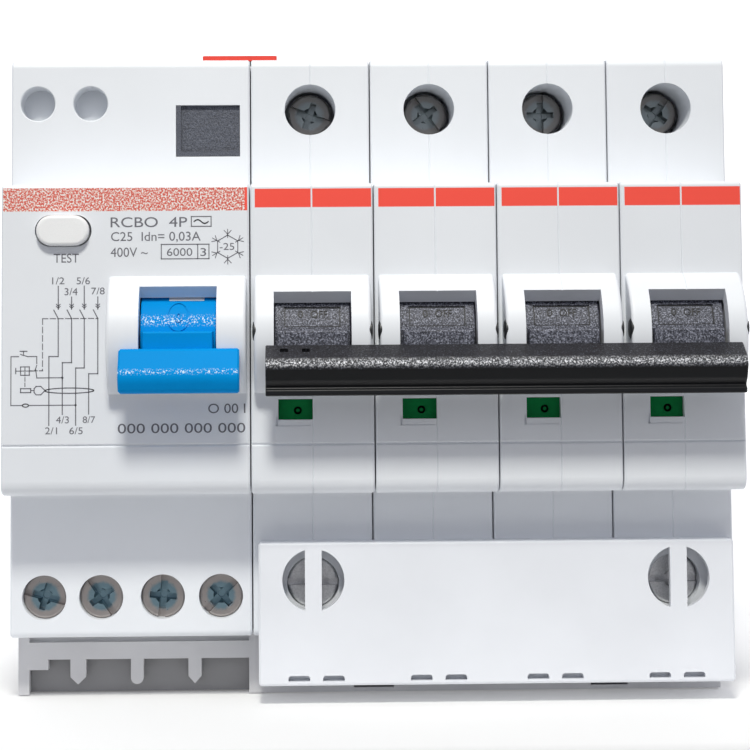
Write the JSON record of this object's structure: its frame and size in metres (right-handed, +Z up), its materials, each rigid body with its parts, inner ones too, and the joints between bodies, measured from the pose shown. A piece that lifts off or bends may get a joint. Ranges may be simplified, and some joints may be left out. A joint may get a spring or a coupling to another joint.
{
  "type": "residual current device",
  "caption": "Rail-mounted residual current device with a multi-pole breaker: ganged switch lever, reset lever, test button, screw terminals, terminal cover and connection tray.",
  "frame": {"origin": "middle of the DIN rail contact plane, at mid-width and on the rail's centreline", "axes": "+X along the rail to the right seen from the front, +Y from the front towards the panel, +Z up"},
  "size_m": [0.1049, 0.0684, 0.094],
  "materials": {
    "black_plastic": "satin",
    "blue_plastic": "semi-gloss",
    "cage_steel": "zinc plated",
    "copper": "bare copper",
    "ferrite": "taped core",
    "green_plastic": "satin",
    "grey_plastic": "satin",
    "plain_steel": "satin",
    "red_plastic": "semi-gloss",
    "relay_case": "satin",
    "screw_steel": "zinc plated",
    "white_cover": "satin",
    "white_gloss": "semi-gloss",
    "white_shell": "fine satin"
  },
  "bodies": {
    "housing": {"arc_chutes": "plain_steel", "bimetals": "plain_steel", "breaker_load_cages": "cage_steel", "breaker_load_screws": "screw_steel", "connection_tray": "grey_plastic", "coupling_clip": "red_plastic", "fixed_contacts": "copper", "link_busbars": "copper", "pole1_shell_left": "white_shell", "pole1_shell_right": "white_shell", "pole2_shell_left": "white_shell", "pole2_shell_right": "white_shell", "pole3_shell_left": "white_shell", "pole3_shell_right": "white_shell", "pole4_shell_left": "white_shell", "pole4_shell_right": "white_shell", "pole_rivets": "plain_steel", "port_cover": "black_plastic", "primary_conductors": "copper", "rcd_front_cover": "white_shell", "rcd_rear_case": "white_shell", "relay_body": "relay_case", "terminal_cover": "white_cover", "test_contact": "copper", "toroid_core": "ferrite", "toroid_winding": "copper", "trip_coils": "copper"},
    "breaker_lever": {"pole1_toggle": "black_plastic", "pole2_toggle": "black_plastic", "pole3_toggle": "black_plastic", "pole4_toggle": "black_plastic", "handle_bar": "black_plastic"},
    "moving_contacts": {"contact_arms": "copper"},
    "position_flags": {"pole1_flag": "green_plastic", "pole2_flag": "green_plastic", "pole3_flag": "green_plastic", "pole4_flag": "green_plastic"},
    "reset_lever": {"rcd_toggle": "blue_plastic"},
    "test_key": {"test_button": "white_gloss"},
    "relay_pin": {"relay_plunger": "plain_steel"},
    "trip_rocker": {"trip_lever": "plain_steel"},
    "rcd_clip": {"rcd_din_clip": "grey_plastic"},
    "breaker_clip": {"breaker_din_clip": "grey_plastic"},
    "line_screw_1_body": {"line_screw_1": "screw_steel"},
    "line_cage_1_body": {"line_cage_1": "cage_steel"},
    "load_screw_1_body": {"load_screw_1": "screw_steel"},
    "load_cage_1_body": {"load_cage_1": "cage_steel"},
    "line_screw_2_body": {"line_screw_2": "screw_steel"},
    "line_cage_2_body": {"line_cage_2": "cage_steel"},
    "load_screw_2_body": {"load_screw_2": "screw_steel"},
    "load_cage_2_body": {"load_cage_2": "cage_steel"},
    "line_screw_3_body": {"line_screw_3": "screw_steel"},
    "line_cage_3_body": {"line_cage_3": "cage_steel"},
    "load_screw_3_body": {"load_screw_3": "screw_steel"},
    "load_cage_3_body": {"load_cage_3": "cage_steel"},
    "line_screw_4_body": {"line_screw_4": "screw_steel"},
    "line_cage_4_body": {"line_cage_4": "cage_steel"},
    "load_screw_4_body": {"load_screw_4": "screw_steel"},
    "load_cage_4_body": {"load_cage_4": "cage_steel"}
  },
  "joints": [
    {"name": "main_toggle", "type": "hinge", "parent": "housing", "child": "breaker_lever", "pos_m": [0.0175, -0.0493, 0.001], "axis": [-1, 0, 0], "range_deg": [0, 31]},
    {"name": "contact_swing", "type": "hinge", "parent": "housing", "child": "moving_contacts", "pos_m": [0.0175, -0.036, -0.006], "axis": [1, 0, 0], "range_deg": [0, 20.01]},
    {"name": "flag_shift", "type": "slide", "parent": "housing", "child": "position_flags", "axis": [0, 0, -1], "range_m": [0, 0.00401]},
    {"name": "relay_pin_shift", "type": "slide", "parent": "housing", "child": "relay_pin", "axis": [-1, 0, 0], "range_m": [0, 0.0012]},
    {"name": "reset_toggle", "type": "hinge", "parent": "housing", "child": "reset_lever", "pos_m": [-0.0275, -0.0493, 0.001], "axis": [-1, 0, 0], "range_deg": [0, 38.51]},
    {"name": "trip_rock", "type": "hinge", "parent": "housing", "child": "trip_rocker", "pos_m": [-0.035, -0.036, 0], "axis": [0, -1, 0], "range_deg": [0, 6.01]},
    {"name": "test_button_press", "type": "slide", "parent": "housing", "child": "test_key", "axis": [0, 1, 0], "range_m": [0, 0.0015], "stiffness_N_per_m": 400, "springref_m": -0.002},
    {"name": "rcd_clip_pull", "type": "slide", "parent": "housing", "child": "rcd_clip", "axis": [0, 0, -1], "range_m": [0, 0.0035], "stiffness_N_per_m": 1500, "springref_m": -0.003},
    {"name": "breaker_clip_pull", "type": "slide", "parent": "housing", "child": "breaker_clip", "axis": [0, 0, -1], "range_m": [0, 0.0035], "stiffness_N_per_m": 1500, "springref_m": -0.003},
    {"name": "line_cage_1_lift", "type": "slide", "parent": "housing", "child": "line_cage_1_body", "axis": [0, -1, 0], "range_m": [0, 0.005]},
    {"name": "line_screw_1_turn", "type": "hinge", "parent": "housing", "child": "line_screw_1_body", "pos_m": [-0.00875, -0.0355, 0.0345], "axis": [0, 1, 0], "range_deg": [0, 2251]},
    {"name": "load_cage_1_lift", "type": "slide", "parent": "housing", "child": "load_cage_1_body", "axis": [0, -1, 0], "range_m": [0, 0.0049]},
    {"name": "load_screw_1_turn", "type": "hinge", "parent": "housing", "child": "load_screw_1_body", "pos_m": [-0.0476, -0.0426, -0.0362], "axis": [0, 1, 0], "range_deg": [0, 2521]},
    {"name": "line_cage_2_lift", "type": "slide", "parent": "housing", "child": "line_cage_2_body", "axis": [0, -1, 0], "range_m": [0, 0.005]},
    {"name": "line_screw_2_turn", "type": "hinge", "parent": "housing", "child": "line_screw_2_body", "pos_m": [0.00875, -0.0355, 0.0345], "axis": [0, 1, 0], "range_deg": [0, 2251]},
    {"name": "load_cage_2_lift", "type": "slide", "parent": "housing", "child": "load_cage_2_body", "axis": [0, -1, 0], "range_m": [0, 0.0049]},
    {"name": "load_screw_2_turn", "type": "hinge", "parent": "housing", "child": "load_screw_2_body", "pos_m": [-0.0394, -0.0426, -0.0362], "axis": [0, 1, 0], "range_deg": [0, 2521]},
    {"name": "line_cage_3_lift", "type": "slide", "parent": "housing", "child": "line_cage_3_body", "axis": [0, -1, 0], "range_m": [0, 0.005]},
    {"name": "line_screw_3_turn", "type": "hinge", "parent": "housing", "child": "line_screw_3_body", "pos_m": [0.02625, -0.0355, 0.0345], "axis": [0, 1, 0], "range_deg": [0, 2251]},
    {"name": "load_cage_3_lift", "type": "slide", "parent": "housing", "child": "load_cage_3_body", "axis": [0, -1, 0], "range_m": [0, 0.0049]},
    {"name": "load_screw_3_turn", "type": "hinge", "parent": "housing", "child": "load_screw_3_body", "pos_m": [-0.0305, -0.0426, -0.0362], "axis": [0, 1, 0], "range_deg": [0, 2521]},
    {"name": "line_cage_4_lift", "type": "slide", "parent": "housing", "child": "line_cage_4_body", "axis": [0, -1, 0], "range_m": [0, 0.005]},
    {"name": "line_screw_4_turn", "type": "hinge", "parent": "housing", "child": "line_screw_4_body", "pos_m": [0.04375, -0.0355, 0.0345], "axis": [0, 1, 0], "range_deg": [0, 2251]},
    {"name": "load_cage_4_lift", "type": "slide", "parent": "housing", "child": "load_cage_4_body", "axis": [0, -1, 0], "range_m": [0, 0.0049]},
    {"name": "load_screw_4_turn", "type": "hinge", "parent": "housing", "child": "load_screw_4_body", "pos_m": [-0.0221, -0.0426, -0.0362], "axis": [0, 1, 0], "range_deg": [0, 2521]}
  ],
  "couplings": [
    {"joint": "contact_swing", "follows": "main_toggle", "ratio": 0.64516},
    {"joint": "flag_shift", "follows": "main_toggle", "m_per_rad": 0.007393},
    {"joint": "reset_toggle", "follows": "relay_pin_shift", "rad_per_m": 559.96},
    {"joint": "trip_rock", "follows": "relay_pin_shift", "rad_per_m": 87.266},
    {"joint": "line_screw_1_turn", "follows": "line_cage_1_lift", "rad_per_m": 7854},
    {"joint": "load_screw_1_turn", "follows": "load_cage_1_lift", "rad_per_m": 8976},
    {"joint": "line_screw_2_turn", "follows": "line_cage_2_lift", "rad_per_m": 7854},
    {"joint": "load_screw_2_turn", "follows": "load_cage_2_lift", "rad_per_m": 8976},
    {"joint": "line_screw_3_turn", "follows": "line_cage_3_lift", "rad_per_m": 7854},
    {"joint": "load_screw_3_turn", "follows": "load_cage_3_lift", "rad_per_m": 8976},
    {"joint": "line_screw_4_turn", "follows": "line_cage_4_lift", "rad_per_m": 7854},
    {"joint": "load_screw_4_turn", "follows": "load_cage_4_lift", "rad_per_m": 8976}
  ]
}
